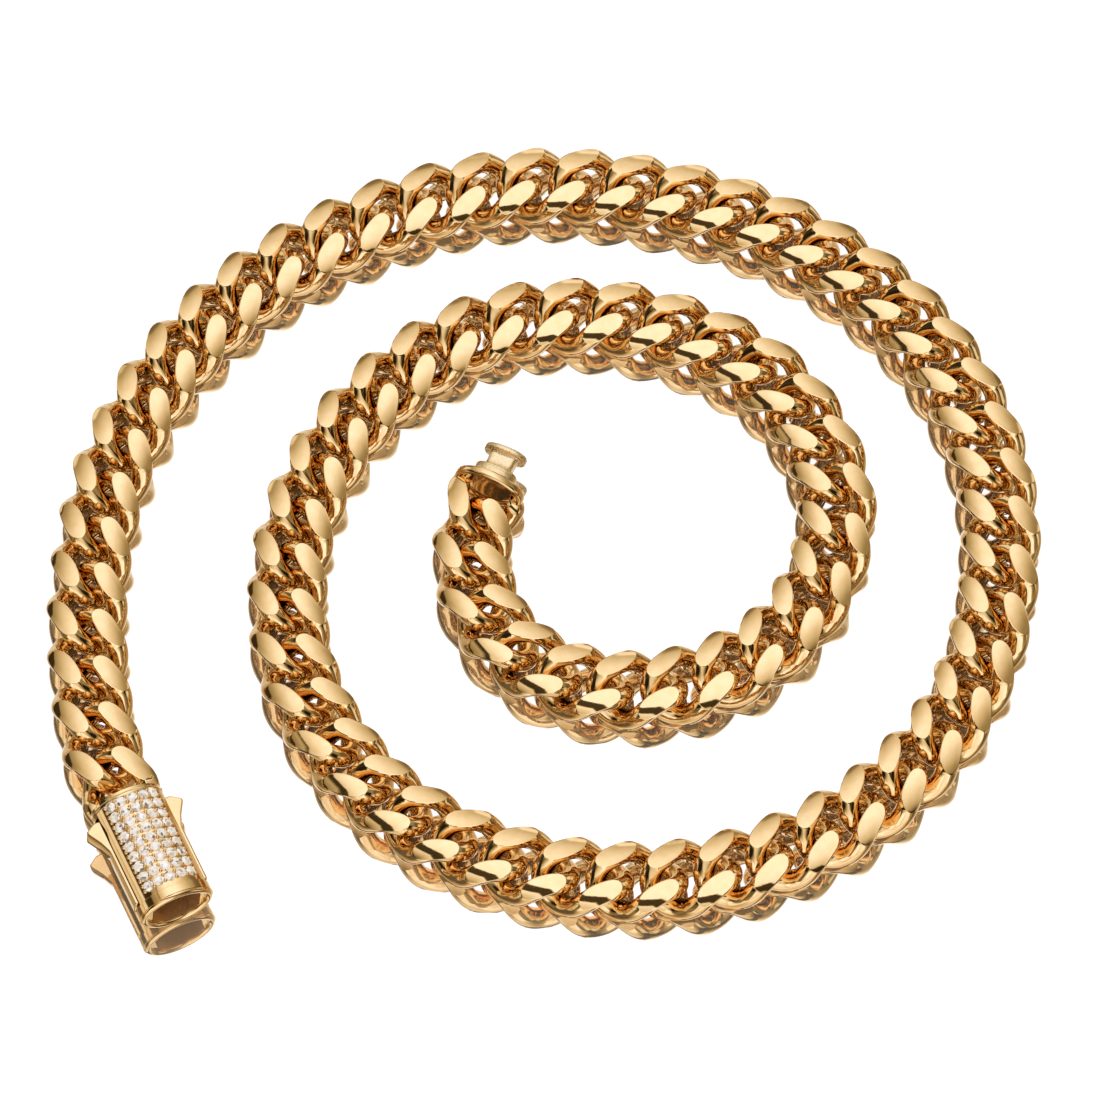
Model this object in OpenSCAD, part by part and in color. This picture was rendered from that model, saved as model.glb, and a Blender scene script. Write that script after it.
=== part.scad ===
// Curb chain necklace with a stone-set box clasp, lying open in a spiral on a table.
// Millimetres, +Z up. The origin is on the table, at the middle of the spiral's outline.
// The chain runs from the box clasp, round one and three quarter turns inwards, to the tongue.

/* [Chain] */
// Worn length of the shut necklace; 555 is the one in the picture, a longer one makes a wider spiral
worn_length = 555; // [555:5:760]
// Width of the chain across both rows of links
chain_width = 10.4; // [10:0.1:11]
// Thickness of the chain, measured over its filed faces
chain_thick = 5.3; // [5:0.1:5.6]
// Diameter of the wire at the two ends of a link
wire_end = 2.7; // [2.5:0.05:2.8]
// Free room on each side of a neighbour's wire in a link's opening
side_gap = 0.8; // [0.75:0.05:0.9]
// Gap between a link and the next but one
link_gap = 0.42; // [0.4:0.02:0.6]
// Gap between a neighbour's wire and the inner end of the link that holds it
end_gap = 0.94; // [0.9:0.02:1.1]
// Twist of each end of a link, in degrees
link_twist = 55; // [53:1:57]

/* [Box clasp] */
// Length of the box
clasp_length = 15.8; // [15:0.1:17.5]
// Width of the box's oval body
clasp_width = 9.5; // [9.2:0.1:10.5]
// Height of the box's oval body
clasp_height = 7.7; // [7.4:0.1:8.5]
// Wall of the box
clasp_wall = 0.9; // [0.8:0.05:1]
// Thickness of the wall that closes the box at the chain
clasp_end_wall = 0.8; // [0.6:0.1:1.2]
// Length of the rolled lip at the mouth
lip_length = 1.1; // [0.8:0.1:1.2]
// How far the lip stands out of the body
lip_proud = 0.2; // [0.1:0.05:0.3]
// Width between the two cheeks just inside the mouth
mouth_width = 6.4; // [6.2:0.1:6.8]
// How far the box leans to its right as it lies, in degrees
clasp_roll = 6; // [0:1:8]

/* [Stones] */
// Diameter of a stone
stone_d = 1.1; // [0.8:0.05:1.15]
// Stones in each row across the box
stone_columns = 5; // [3:1:5]
// Rows of stones along the box
stone_rows = 9; // [5:1:9]
// Distance between rows, along the box
row_pitch = 1.48; // [1.4:0.02:1.5]
// Distance between columns, along the curve of the box
column_pitch = 1.53; // [1.45:0.02:1.6]
// Gap between a stone and its seat
stone_gap = 0.04; // [0.03:0.01:0.05]

/* [Levers] */
// Height of a lever
lever_height = 2.3; // [2:0.1:2.6]
// Gap above, below and at the ends of a lever in its window
lever_gap = 0.2; // [0.15:0.05:0.3]
// How far the thumb tab stands out of the box
tab_proud = 1.6; // [1.2:0.1:2]
// Diameter of a lever's pin
pin_d = 0.7; // [0.5:0.05:0.7]
// Radial running clearance of a lever on its pin
pin_fit = 0.05; // [0.03:0.01:0.08]

/* [Tongue] */
// Thickness of the tongue's end cap
cap_thick = 0.9; // [0.7:0.1:1.2]
// Depth of the cap's rim, on the side of the chain
cap_rim = 0.7; // [0.4:0.1:0.9]
// Width of the flange that the hooks hold
flange_width = 5.7; // [5.5:0.1:5.9]
// Height of the flange
flange_height = 3.4; // [3:0.1:3.8]
// Thickness of the flange
flange_thick = 0.8; // [0.6:0.1:1]
// Width of the neck
neck_width = 3.6; // [3.2:0.1:3.8]
// Height of the neck
neck_height = 2.4; // [2:0.1:2.6]
// Height of the block that centres the tongue in the mouth
block_height = 4.4; // [4:0.1:5]
// Free play between the flange and the hooks when the clasp is shut
latch_play = 0.2; // [0.1:0.05:0.3]

/* [Hidden] */

// The route of the chain's middle line on the table, chosen by eye, from the box to the tongue,
// and the worn length that it is drawn for
drawn_length = 555;
drawn_route = [
  [-52.4, -39.3], [-55.7, -31.3], [-57.9, -18.3], [-57.9, -4.8], [-53.4, 14.7],
  [-41.9, 32.2], [-25.9, 44], [-6.9, 50.5], [13.1, 49.9], [32.1, 43.2], [47.6, 30.2],
  [56.6, 12.2], [57.6, -8.3], [51.1, -27.3], [37.4, -41.3], [18.1, -49.1], [-1.9, -47.8],
  [-19.9, -38.3], [-31.2, -20.8], [-31.9, -0.3], [-22.9, 18.2], [-6.9, 29.7], [13.1, 30.2],
  [30.4, 20.4], [37.3, 2.7], [31.1, -13.8], [21.6, -20.8], [10, -22.9], [0, -20.2],
  [-7.2, -12.7], [-9.4, -3], [-7.3, 5.1]
];
route = [for (p = drawn_route) p * worn_length / drawn_length];
// Headings of the chain where it leaves the box and where it meets the tongue, in degrees
clasp_heading = 115;
tongue_heading = 66;
// Straight arms of the two half links, between the last whole link's place and the box or the cap
clasp_lead = 1.9;
tongue_lead = 0.5;
// How deep the arms of a half link are sunk into what they are soldered to
solder_depth = 0.4;
// Steps of the route's curve in each of its stretches
route_steps = 12;

// Exponent of the superellipse that a link's middle line follows, seen along its axis of twist
link_roundness = 2.5;
// The filed faces follow an oval: its half width beside the chain's, and its exponent
face_margin = 0.7;
face_roundness = 2.3;
// Share of the twist that a half link keeps where its arms leave the box or the cap
arm_twist = 0.35;
// Rings in a whole link, and sides of its wire
link_rings = 16;
wire_sides = 6;
// Step either way, in degrees, that the direction of a link's middle line is taken over
slope_step = 2;

wire_side = (chain_width - wire_end - 2 * side_gap) / 2;
half_len = wire_end + link_gap / 2 + end_gap + wire_end / 2;
half_wid = (chain_width - wire_side) / 2;
link_pitch = half_len + wire_end / 2 + link_gap / 2;
face_half = chain_width / 2 + face_margin;

// The box's oval section, and the lip's
body_a = clasp_width / 2;
body_b = clasp_height / 2;
lip_a = body_a + lip_proud;
lip_b = body_b + lip_proud;
oval_sides = 48;
pin_sides = 32;
seat_sides = 24;
// How far a cutter goes on past what it cuts
cut_over = 1;
clasp_axis_z = norm([lip_a * sin(clasp_roll), lip_b * cos(clasp_roll)]);
// The stone field is centred between the lip and the chain end of the box
field_middle = -(clasp_length - lip_length) / 2;
column_angle = column_pitch / body_a * 180 / PI;
// Depth of a stone under its table, as a share of its diameter, and its facets
pavilion_share = 0.43;
stone_sides = 8;
// How far a stone's table stands over the metal, and the cutter of its seat
stone_rise = 0.1;
seat_over = 0.3;

// Places along a lever, measured from the mouth of the box
hook_entry = 1.6;
hook_front = 2.7;
hook_back = 4;
lever_pivot = 8;
tab_start = 9.6;
tab_peak = 12.9;
tab_end = clasp_length - 1.7;
// Shape of a thumb tab: its heights beside the peak as shares of tab_proud, and its flat's length
tab_foot = 0.2;
tab_front = 0.4;
tab_back = 0.95;
tab_flat = 0.4;
// Thickness of a lever's bar, how far it stands out of the box, and the wall left outside its pin
lever_bar = 1.65;
bar_proud = 0.15;
pin_inset = 0.8;
// How far each hook reaches behind the flange
hook_hold = 0.5;
pin_bridge = 0.35;

// The tongue's lengths follow the hooks
block_length = hook_entry - lever_gap;
neck_length = hook_back + latch_play - block_length;
block_gap = 0.35;
cap_wall = 0.7;

// Numbers along the route

function hermite(p, q, m, n, u) =
  (2 * u * u * u - 3 * u * u + 1) * p + (u * u * u - 2 * u * u + u) * m +
  (3 * u * u - 2 * u * u * u) * q + (u * u * u - u * u) * n;

function unit(v) = v / norm(v);

function chord(i) = norm(route[i + 1] - route[i]);

// Direction of the route at a point: the two chords beside it, the shorter one counting more
function slope(i) =
  i == 0 ? [cos(clasp_heading), sin(clasp_heading)] :
  i == len(route) - 1 ? [cos(tongue_heading), sin(tongue_heading)] :
  ((route[i] - route[i - 1]) * chord(i) / chord(i - 1) +
   (route[i + 1] - route[i]) * chord(i - 1) / chord(i)) / (chord(i) + chord(i - 1));

path = [
  for (i = [0 : len(route) - 2], k = [0 : route_steps - 1])
    hermite(route[i], route[i + 1], slope(i) * chord(i), slope(i + 1) * chord(i), k / route_steps),
  route[len(route) - 1]
];
path_at = [
  for (
    i = 0, s = 0;
    i < len(path);
    s = s + (i < len(path) - 1 ? norm(path[i + 1] - path[i]) : 0), i = i + 1
  ) s
];
path_x = [for (i = [0 : len(path) - 1]) [path_at[i], path[i].x]];
path_y = [for (i = [0 : len(path) - 1]) [path_at[i], path[i].y]];

// The links share the length between the two half links evenly
chain_run = path_at[len(path) - 1] - clasp_lead - tongue_lead;
intervals = round(chain_run / link_pitch);
link_count = intervals - 1;
outer_links = round(link_count / 2);

function place(i) =
  let (s = clasp_lead + i * chain_run / intervals)
  [lookup(s, path_x), lookup(s, path_y)];

function heading(i) =
  i == 0 ? clasp_heading :
  i == intervals ? tongue_heading :
  let (d = place(i + 1) - place(i - 1)) atan2(d.y, d.x);

// Shape of a link

function signed_pow(v, p) = sign(v) * pow(abs(v), p);

// Twist at x. A whole link has side 0; a half link has side 1 or -1 and keeps part of its twist
function twist_at(x, side) =
  side == 0 ? -link_twist * sin(90 * x / half_len) :
  -side * link_twist * (arm_twist + (1 - arm_twist) * sin(90 * side * x / half_len));

// Middle line of the wire at the angle t
function link_point(t, side) =
  let (
    x = half_len * signed_pow(cos(t), 2 / link_roundness),
    r = half_wid * signed_pow(sin(t), 2 / link_roundness),
    turn = twist_at(x, side)
  )
  [x, r * cos(turn), r * sin(turn)];

// Height of the filed faces at y
function face_height(y) =
  chain_thick / 2 * pow(max(0, 1 - pow(abs(y) / face_half, face_roundness)), 1 / face_roundness);

function wire_radius(t) = (wire_end + (wire_side - wire_end) * sin(t) * sin(t)) / 2;

// One ring of the wire, square to the middle line, with the filed faces cut flat
function link_ring(t, side) =
  let (
    d = unit(link_point(t + slope_step, side) - link_point(t - slope_step, side)),
    up = unit([0, 0, 1] - d * d.z),
    across = cross(d, up),
    c = link_point(t, side)
  )
  [
    for (j = [0 : wire_sides - 1])
      let (
        a = (j + 0.5) * 360 / wire_sides,
        p = c + wire_radius(t) * (cos(a) * up + sin(a) * across),
        h = face_height(p.y)
      )
      [p.x, p.y, min(h, max(-h, p.z))]
  ];

function moved(ring, x) = [for (p = ring) p + [x, 0, 0]];

// A tube through rings of points, closed on itself or with flat ends
module tube(rings, closed) {
  n = len(rings);
  m = wire_sides;
  last = closed ? n - 1 : n - 2;
  polyhedron(
    points = [for (r = rings, p = r) p],
    faces = [
      for (i = [0 : last], j = [0 : m - 1])
        let (i2 = (i + 1) % n, j2 = (j + 1) % m)
        each [
          [i * m + j, i2 * m + j, i2 * m + j2],
          [i * m + j, i2 * m + j2, i * m + j2]
        ],
      if (!closed) [for (j = [0 : m - 1]) j],
      if (!closed) [for (j = [m - 1 : -1 : 0]) (n - 1) * m + j]
    ],
    convexity = 6
  );
}

module whole_link() {
  tube([for (k = [0 : link_rings - 1]) link_ring(k * 360 / link_rings, 0)], true);
}

// Half of a link, on the +X side or the -X side, with arms that go on for a length
module half_link(side, arm) {
  first = side > 0 ? -90 : 90;
  step = 360 / link_rings;
  rings = [for (k = [0 : link_rings / 2]) link_ring(first + k * step, side)];
  tube(
    [
      moved(rings[0], -side * arm),
      each rings,
      moved(rings[len(rings) - 1], -side * arm)
    ],
    false
  );
}

module place_link(i) {
  p = place(i);
  translate([p.x, p.y, chain_thick / 2]) rotate([0, 0, heading(i)]) children();
}

module chain_outer() {
  color("gold")
    for (i = [1 : outer_links])
      place_link(i) whole_link();
}

module chain_inner() {
  color("gold")
    for (i = [outer_links + 1 : link_count])
      place_link(i) whole_link();
}

// The box clasp

// Frame of the box: its end wall at x = 0, its mouth towards -X, its stones upwards
module clasp_frame() {
  translate([route[0].x, route[0].y, clasp_axis_z])
    rotate([0, 0, clasp_heading])
      rotate([clasp_roll, 0, 0])
        children();
}

module oval(a, b) {
  step = 360 / oval_sides;
  polygon([for (i = [0 : oval_sides - 1]) [a * cos(i * step), b * sin(i * step)]]);
}

// A flat shape in Y and Z carried along X
module along(x0, x1) {
  translate([x0, 0, 0]) rotate([90, 0, 90]) linear_extrude(x1 - x0) children();
}

module stone_places() {
  for (row = [0 : stone_rows - 1], col = [0 : stone_columns - 1]) {
    x = field_middle + (row - (stone_rows - 1) / 2) * row_pitch;
    t = 90 + (col - (stone_columns - 1) / 2) * column_angle;
    lean = atan2(cos(t) / body_a, sin(t) / body_b);
    translate([x, body_a * cos(t), body_b * sin(t)]) rotate([-lean, 0, 0]) children();
  }
}

module stone_seat() {
  wide = stone_d / 2 + stone_gap;
  spread = 0.5 / pavilion_share;
  depth = wide / spread - stone_rise;
  high = depth + seat_over;
  translate([0, 0, -depth]) cylinder(h = high, r1 = 0, r2 = high * spread, $fn = seat_sides);
}

// Window in the side wall that a lever works in, on the +Y side
module lever_window() {
  high = lever_height + 2 * lever_gap;
  from = -clasp_length + hook_entry - lever_gap;
  to = -clasp_length + tab_end + 2 * lever_gap;
  translate([from, body_a - lever_bar - lever_gap, -high / 2])
    cube([to - from, lever_bar + lip_proud + lever_gap + tab_proud, high]);
}

module lever_pin() {
  reach = lever_height / 2 + lever_gap + pin_bridge;
  translate([-clasp_length + lever_pivot, body_a - pin_inset, -reach])
    cylinder(h = 2 * reach, d = pin_d, $fn = pin_sides);
}

module clasp_loop() {
  p = route[0];
  translate([p.x, p.y, chain_thick / 2])
    rotate([0, 0, clasp_heading])
      translate([clasp_lead, 0, 0])
        half_link(1, clasp_lead + solder_depth);
}

module clasp_box() {
  color("gold") {
    clasp_frame() {
      difference() {
        union() {
          along(-clasp_length + lip_length, 0) oval(body_a, body_b);
          along(-clasp_length, -clasp_length + lip_length) oval(lip_a, lip_b);
        }
        along(-clasp_length + hook_entry - 2 * lever_gap, -clasp_end_wall)
          oval(body_a - clasp_wall, body_b - clasp_wall);
        along(-clasp_length - cut_over, -clasp_length + hook_entry)
          intersection() {
            oval(body_a - clasp_wall, body_b - clasp_wall);
            square([mouth_width, clasp_height], center = true);
          }
        lever_window();
        mirror([0, 1, 0]) lever_window();
        stone_places() stone_seat();
      }
      lever_pin();
      mirror([0, 1, 0]) lever_pin();
    }
    clasp_loop();
  }
}

// A flat table over a pointed pavilion
module stone() {
  r = stone_d / 2;
  n = stone_sides;
  rim = [for (i = [0 : n - 1]) [r * cos(i * 360 / n), r * sin(i * 360 / n)]];
  polyhedron(
    points = [for (q = rim) [q.x, q.y, 0], [0, 0, -stone_d * pavilion_share]],
    faces = [
      [for (i = [n - 1 : -1 : 0]) i],
      for (i = [0 : n - 1]) [i, (i + 1) % n, n]
    ]
  );
}

module pave_stones() {
  color("white")
    clasp_frame()
      stone_places()
        translate([0, 0, stone_rise]) stone();
}

// A lever, on the +Y side of the box's frame
module lever() {
  outer = body_a + bar_proud;
  inner = outer - lever_bar;
  tip = flange_width / 2 - hook_hold;
  translate([-clasp_length, 0, -lever_height / 2])
    difference() {
      linear_extrude(lever_height)
        polygon([
          [hook_entry, outer], [hook_entry, inner], [hook_front, tip], [hook_back, tip],
          [hook_back, inner], [tab_end, inner], [tab_end, outer + tab_proud * tab_foot],
          [tab_peak + tab_flat, outer + tab_proud * tab_back], [tab_peak, outer + tab_proud],
          [(tab_start + tab_peak) / 2, outer + tab_proud * tab_front], [tab_start, outer]
        ]);
      translate([lever_pivot, body_a - pin_inset, -cut_over])
        cylinder(h = lever_height + 2 * cut_over, r = pin_d / 2 + pin_fit, $fn = pin_sides);
    }
}

module lever_left() {
  color("gold") clasp_frame() lever();
}

module lever_right() {
  color("gold") clasp_frame() mirror([0, 1, 0]) lever();
}

// Frame of the tongue: the chain side of its cap at x = 0, its flange towards +X
module tongue() {
  p = route[len(route) - 1];
  color("gold")
    translate([p.x, p.y, 0])
      rotate([0, 0, tongue_heading]) {
        translate([0, 0, clasp_axis_z]) {
          along(0, cap_thick) oval(body_a, body_b);
          along(-cap_rim, 0)
            difference() {
              oval(body_a, body_b);
              oval(body_a - cap_wall, body_b - cap_wall);
            }
          translate([cap_thick, 0, 0]) {
            along(-solder_depth, block_length) oval(mouth_width / 2 - block_gap, block_height / 2);
            along(-solder_depth, block_length + neck_length + solder_depth)
              square([neck_width, neck_height], center = true);
            along(block_length + neck_length, block_length + neck_length + flange_thick)
              oval(flange_width / 2, flange_height / 2);
          }
        }
        translate([-tongue_lead, 0, chain_thick / 2])
          half_link(-1, tongue_lead + solder_depth);
      }
}

chain_outer();
chain_inner();
clasp_box();
pave_stones();
lever_left();
lever_right();
tongue();
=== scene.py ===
import math

import bmesh
import bpy
import numpy as np
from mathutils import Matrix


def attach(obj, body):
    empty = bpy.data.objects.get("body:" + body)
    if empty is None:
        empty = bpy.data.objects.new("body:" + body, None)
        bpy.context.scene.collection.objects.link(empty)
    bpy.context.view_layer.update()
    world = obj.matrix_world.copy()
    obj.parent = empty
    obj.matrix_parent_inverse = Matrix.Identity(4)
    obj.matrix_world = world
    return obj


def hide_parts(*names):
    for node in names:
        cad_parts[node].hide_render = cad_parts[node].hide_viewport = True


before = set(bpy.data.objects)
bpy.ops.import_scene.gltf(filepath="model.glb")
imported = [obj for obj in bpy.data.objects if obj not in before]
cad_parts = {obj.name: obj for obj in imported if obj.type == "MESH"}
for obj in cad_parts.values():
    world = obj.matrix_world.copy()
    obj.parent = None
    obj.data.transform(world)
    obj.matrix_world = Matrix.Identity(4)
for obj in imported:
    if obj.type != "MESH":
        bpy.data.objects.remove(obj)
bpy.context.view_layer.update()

# Camera
# The photograph looks down at 62.3 degrees, along +Y, from 0.9 m away, through a long lens.
lens_px = 7000
photo_px = 1103
look_down = math.radians(62.3)
camera_data = bpy.data.cameras.new("camera")
camera_data.sensor_width = 36
camera_data.lens = camera_data.sensor_width * lens_px / photo_px
camera_data.clip_end = 20
camera = bpy.data.objects.new("camera", camera_data)
camera.location = (0.0008, -0.41825, 0.79331)
camera.rotation_euler = (math.pi / 2 - look_down, 0, 0)
bpy.context.scene.collection.objects.link(camera)
bpy.context.scene.camera = camera


# Chain
# Each link is a ring of round steel wire, twisted so that it lies flat with its neighbours and
# filed on the top and the bottom, which leaves a slanted oval face on each side of the chain. The
# finished chain is plated with gold and polished.
chain_thick = 0.0053
link_half_len = 0.0051
link_half_wid = 0.0038
link_roundness = 2.2
link_twist = math.radians(42)
twist_haste = 1.4
wire_radius = 0.0014
face_half = 0.00568
face_roundness = 2.3
link_rings = 124
facet_columns = 9
flank_columns = 8
edge_width = 0.00004
crisp_angle = math.radians(14)

# The chain lies on the table in an open spiral of just over two turns, from the box clasp inwards
# to the tongue. The points are those of part.scad, in metres.
route = np.array([
    (-52.4, -39.3), (-55.7, -31.3), (-57.9, -18.3), (-57.9, -4.8), (-53.4, 14.7),
    (-41.9, 32.2), (-25.9, 44), (-6.9, 50.5), (13.1, 49.9), (32.1, 43.2), (47.6, 30.2),
    (56.6, 12.2), (57.6, -8.3), (51.1, -27.3), (37.4, -41.3), (18.1, -49.1), (-1.9, -47.8),
    (-19.9, -38.3), (-31.2, -20.8), (-31.9, -0.3), (-22.9, 18.2), (-6.9, 29.7), (13.1, 30.2),
    (30.4, 20.4), (37.3, 2.7), (31.1, -13.8), (21.6, -20.8), (10, -22.9), (0, -20.2),
    (-7.2, -12.7), (-9.4, -3), (-7.3, 5.1),
]) * 0.001
clasp_heading = math.radians(115)
tongue_heading = math.radians(66)
clasp_lead = 0.0019
tongue_lead = 0.0005
route_steps = 12
pitch_aim = 0.00676


def laid_path(points, first, last, steps):
    """Cubic Hermite curve through the points. The direction at a point is the sum of the two chords
    beside it, each times the length of the other; the headings first and last hold at the ends."""
    step = np.diff(points, axis=0)
    chord = np.linalg.norm(step, axis=1)[:, None]
    before, after = chord[:-1], chord[1:]
    middle = (step[:-1] * after / before + step[1:] * before / after) / (before + after)
    start, stop = ((math.cos(heading), math.sin(heading)) for heading in (first, last))
    slope = np.vstack([start, middle, stop])
    u = (np.arange(steps) / steps)[None, :, None]
    p, q = points[:-1, None], points[1:, None]
    m, n = slope[:-1, None] * chord[:, None], slope[1:, None] * chord[:, None]
    curve = (2 * u**3 - 3 * u**2 + 1) * p + (u**3 - 2 * u**2 + u) * m
    curve = curve + (3 * u**2 - 2 * u**3) * q + (u**3 - u**2) * n
    return np.vstack([curve.reshape(-1, 2), points[-1]])


path = laid_path(route, clasp_heading, tongue_heading, route_steps)
path_at = np.r_[0, np.cumsum(np.linalg.norm(np.diff(path, axis=0), axis=1))]
chain_run = path_at[-1] - clasp_lead - tongue_lead
link_count = round(chain_run / pitch_aim) - 1
link_at = clasp_lead + np.arange(link_count + 2) * chain_run / (link_count + 1)
link_places = np.stack([np.interp(link_at, path_at, path[:, k]) for k in (0, 1)], 1)
apart = link_places[2:] - link_places[:-2]
link_headings = np.r_[clasp_heading, np.arctan2(apart[:, 1], apart[:, 0]), tongue_heading]


def srgb(code):
    """Linear colour of an sRGB hex code."""
    c = np.array([int(code[i:i + 2], 16) for i in (1, 3, 5)]) / 255
    return (*np.where(c <= 0.04045, c / 12.92, ((c + 0.055) / 1.055) ** 2.4).tolist(), 1.0)


def node(tree, kind, inputs=None, **settings):
    """Adds a node with its settings; each input is given a value or the socket that feeds it."""
    made = tree.nodes.new(kind)
    for name, value in settings.items():
        setattr(made, name, value)
    for name, value in (inputs or {}).items():
        if isinstance(value, bpy.types.NodeSocket):
            tree.links.new(value, made.inputs[name])
        else:
            made.inputs[name].default_value = value
    return made


def material(name):
    """A new material, and its tree with only the output in it."""
    made = bpy.data.materials.new(name)
    made.use_nodes = True
    tree = made.node_tree
    tree.nodes.clear()
    return made, tree, tree.nodes.new("ShaderNodeOutputMaterial")


# Gold plate on steel, polished to a mirror. The polish is uneven in waves 1.3 mm long, 0.76 of them
# to a millimetre, which bend what it mirrors; its buffing marks are 0.2 mm, 5 to a millimetre, and
# give the highlights soft edges.
per_mm = 1000
wave_depth = 0.000006
mark_depth = 0.0000008
gold, tree, out = material("polished_gold_plate")
where = node(tree, "ShaderNodeTexCoord").outputs["Object"]
cloud = node(tree, "ShaderNodeTexNoise", {"Vector": where, "Scale": 0.76 * per_mm, "Detail": 2.0})
grit = node(tree, "ShaderNodeTexNoise", {
    "Vector": where, "Scale": 5.0 * per_mm, "Detail": 2.0, "Roughness": 0.6,
})
shade = node(tree, "ShaderNodeValToRGB", {"Fac": cloud.outputs["Fac"]})
shade.color_ramp.elements[0].position = 0.3
shade.color_ramp.elements[0].color = srgb("#F4CC90")
shade.color_ramp.elements[1].position = 0.7
shade.color_ramp.elements[1].color = srgb("#FAD59E")
gloss = node(tree, "ShaderNodeMapRange", {
    "Value": grit.outputs["Fac"], "From Min": 0.3, "From Max": 0.7, "To Min": 0.035,
    "To Max": 0.085,
})
slow = node(tree, "ShaderNodeBump", {
    "Strength": 1.0, "Distance": wave_depth, "Height": cloud.outputs["Fac"],
})
fine = node(tree, "ShaderNodeBump", {
    "Strength": 0.6, "Distance": mark_depth, "Height": grit.outputs["Fac"],
    "Normal": slow.outputs["Normal"],
})
shader = node(tree, "ShaderNodeBsdfPrincipled", {
    "Base Color": shade.outputs["Color"], "Metallic": 1.0, "Roughness": gloss.outputs["Result"],
    "Normal": fine.outputs["Normal"],
})
tree.links.new(shader.outputs["BSDF"], out.inputs["Surface"])


def face_height(y):
    """Half the chain's thickness at y: a superellipse, thickest at the chain's middle line."""
    inside = np.clip(1 - np.abs(y / face_half) ** face_roundness, 0, 1)
    return chain_thick / 2 * inside ** (1 / face_roundness)


def twist_share(q):
    """How much of the twist is reached at the share q of the half length: a quarter sine wave of
    1 - (1 - q)^haste, so that it turns fastest at the middle of the link and not at all at its
    ends."""
    return np.sin(np.pi / 2 * (1 - (1 - np.clip(q, 0, 1)) ** twist_haste))


def link_line():
    """Middle line of a whole link, from t = 0 round to 2 pi: x = L sgn(cos t)|cos t|^(2/n) and
    r = W sgn(sin t)|sin t|^(2/n), where r is turned about X by the twist at x."""
    t = np.linspace(0, 2 * np.pi, 6001)
    c, s = np.cos(t), np.sin(t)
    x = link_half_len * np.sign(c) * np.abs(c) ** (2 / link_roundness)
    r = link_half_wid * np.sign(s) * np.abs(s) ** (2 / link_roundness)
    turn = -link_twist * np.sign(x) * twist_share(np.abs(x) / link_half_len)
    return np.stack([x, r * np.cos(turn), r * np.sin(turn)], 1)


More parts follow.
